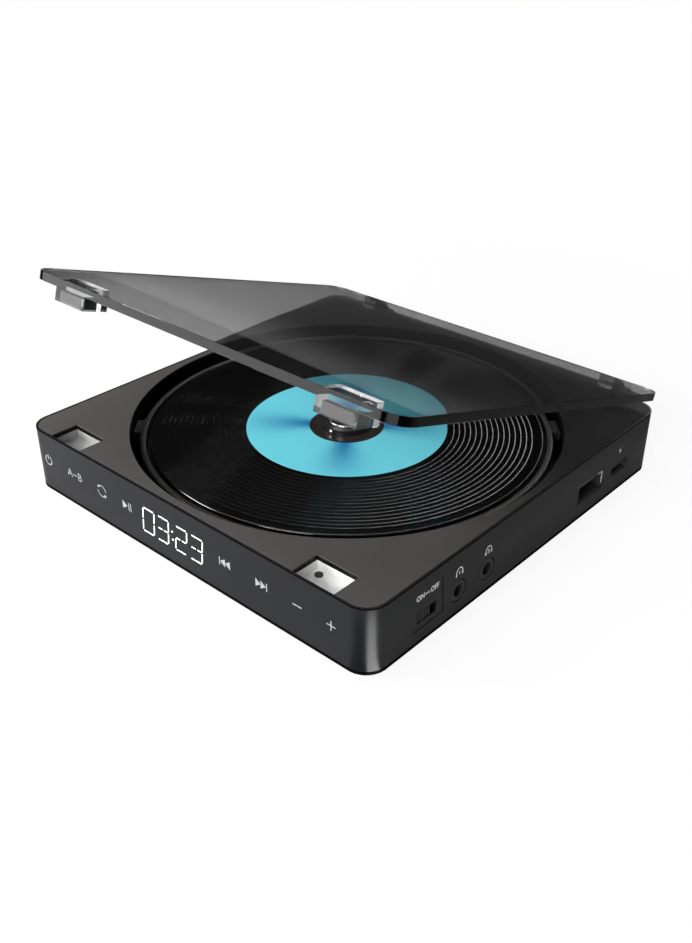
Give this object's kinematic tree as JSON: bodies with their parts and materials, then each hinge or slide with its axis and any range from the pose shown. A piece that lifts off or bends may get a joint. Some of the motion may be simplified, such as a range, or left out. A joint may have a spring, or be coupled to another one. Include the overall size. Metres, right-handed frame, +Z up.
{
  "type": "portable cd player",
  "caption": "Portable disc player: flat square dark case, clear flip-up lid with corner magnets, disc on a sprung hub, front touch icons and clock, side headphone and USB ports.",
  "frame": {"origin": "middle of the whole footprint, hinge ears included, on the surface that the feet stand on", "axes": "+X towards the ports on the player's right side, +Y from the front display towards the hinge, +Z up"},
  "size_m": [0.137, 0.146, 0.0671],
  "materials": {
    "case": "fine satin, moulded",
    "cover": "fine texture, moulded",
    "black_screw": "blackened",
    "foot_rubber": "matte",
    "deck": "satin",
    "strike_steel": "bright plated",
    "sensor": "matte",
    "pin_steel": "ground",
    "lid": "clear smoky, polished",
    "magnet": "nickel plated",
    "tray": "satin",
    "screw": "plated",
    "chassis_steel": "stamped, plated",
    "damper_rubber": "soft, matte",
    "motor_can": "drawn, plated",
    "hub": "polished",
    "ball_steel": "polished",
    "disc": "polished over a reflective layer",
    "label": "printed",
    "sled": "moulded",
    "lens_holder": "moulded",
    "circuit_board": "solder mask",
    "chip": "moulded",
    "capacitor": "drawn",
    "battery": "foil sleeve",
    "port_steel": "plated sheet",
    "port_white": "moulded",
    "port_black": "moulded",
    "jack": "moulded",
    "switch_body": "moulded",
    "switch_knob": "satin",
    "display": "dark window",
    "lamp": "clear dome",
    "light_guide": "milky",
    "film": "amber film"
  },
  "bodies": {
    "case": {"case_shell": "case", "bottom_cover": "cover", "cover_screws": "black_screw", "feet": "foot_rubber", "deck_plate": "deck", "strike_cup_left": "strike_steel", "strike_cup_right": "strike_steel", "lid_sensor": "sensor", "hinge_pins": "pin_steel", "disc_tray": "tray", "tray_screws": "screw", "mech_chassis": "chassis_steel", "dampers": "damper_rubber", "damper_screws": "screw", "spindle_motor": "motor_can", "guide_rods": "pin_steel", "sled_motor": "motor_can", "main_board": "circuit_board", "main_board_screws": "screw", "board_chips": "chip", "board_capacitors": "capacitor", "battery": "battery", "usb_a_shell": "port_steel", "usb_a_tongue": "port_white", "usb_c_shell": "port_steel", "usb_c_tongue": "port_black", "headphone_jack_1": "jack", "headphone_jack_2": "jack", "hold_switch_body": "switch_body", "display_board": "circuit_board", "display_board_screws": "screw", "display_module": "display", "icon_lamps": "lamp", "light_guide": "light_guide", "touch_film": "film", "display_ribbon": "film"},
    "lid": {"lid_panel": "lid", "lid_magnets": "magnet"},
    "spindle": {"spindle_shaft": "pin_steel", "turntable_hub": "hub", "disc": "disc", "disc_label": "label"},
    "ball_1": {"catch_ball_1": "ball_steel"},
    "ball_2": {"catch_ball_2": "ball_steel"},
    "ball_3": {"catch_ball_3": "ball_steel"},
    "sled": {"laser_sled": "sled"},
    "lens": {"lens_holder": "lens_holder"},
    "screw": {"lead_screw": "pin_steel"},
    "switch": {"hold_switch_knob": "switch_knob"}
  },
  "joints": [
    {"name": "lid_hinge", "type": "hinge", "parent": "case", "child": "lid", "pos_m": [0, 0.0706, 0.0153], "axis": [-1, 0, 0], "range_deg": [-18.1, 66.9]},
    {"name": "disc_spin", "type": "hinge", "parent": "case", "child": "spindle", "pos_m": [0, -0.0045, 0.015], "axis": [0, 0, 1], "continuous": true},
    {"name": "catch_ball_1_slide", "type": "slide", "parent": "spindle", "child": "ball_1", "axis": [0.866, 0.5, 0], "range_m": [-0.0006, 0], "stiffness_N_per_m": 300, "springref_m": 0.001},
    {"name": "catch_ball_2_slide", "type": "slide", "parent": "spindle", "child": "ball_2", "axis": [-0.866, 0.5, 0], "range_m": [-0.0006, 0], "stiffness_N_per_m": 300, "springref_m": 0.001},
    {"name": "catch_ball_3_slide", "type": "slide", "parent": "spindle", "child": "ball_3", "axis": [0, -1, 0], "range_m": [-0.0006, 0], "stiffness_N_per_m": 300, "springref_m": 0.001},
    {"name": "sled_slide", "type": "slide", "parent": "case", "child": "sled", "axis": [1, 0, 0], "range_m": [-0.014, 0.017]},
    {"name": "lens_focus", "type": "slide", "parent": "sled", "child": "lens", "axis": [0, 0, 1], "range_m": [-0.00025, 0.00045], "stiffness_N_per_m": 60},
    {"name": "lead_screw_turn", "type": "hinge", "parent": "case", "child": "screw", "pos_m": [0.02, 0.015, 0.0101], "axis": [1, 0, 0], "range_deg": [-1700, 2060]},
    {"name": "hold_switch_slide", "type": "slide", "parent": "case", "child": "switch", "axis": [0, 1, 0], "range_m": [0, 0.002]}
  ],
  "couplings": [
    {"joint": "lead_screw_turn", "follows": "sled_slide", "rad_per_m": 2094.4}
  ]
}
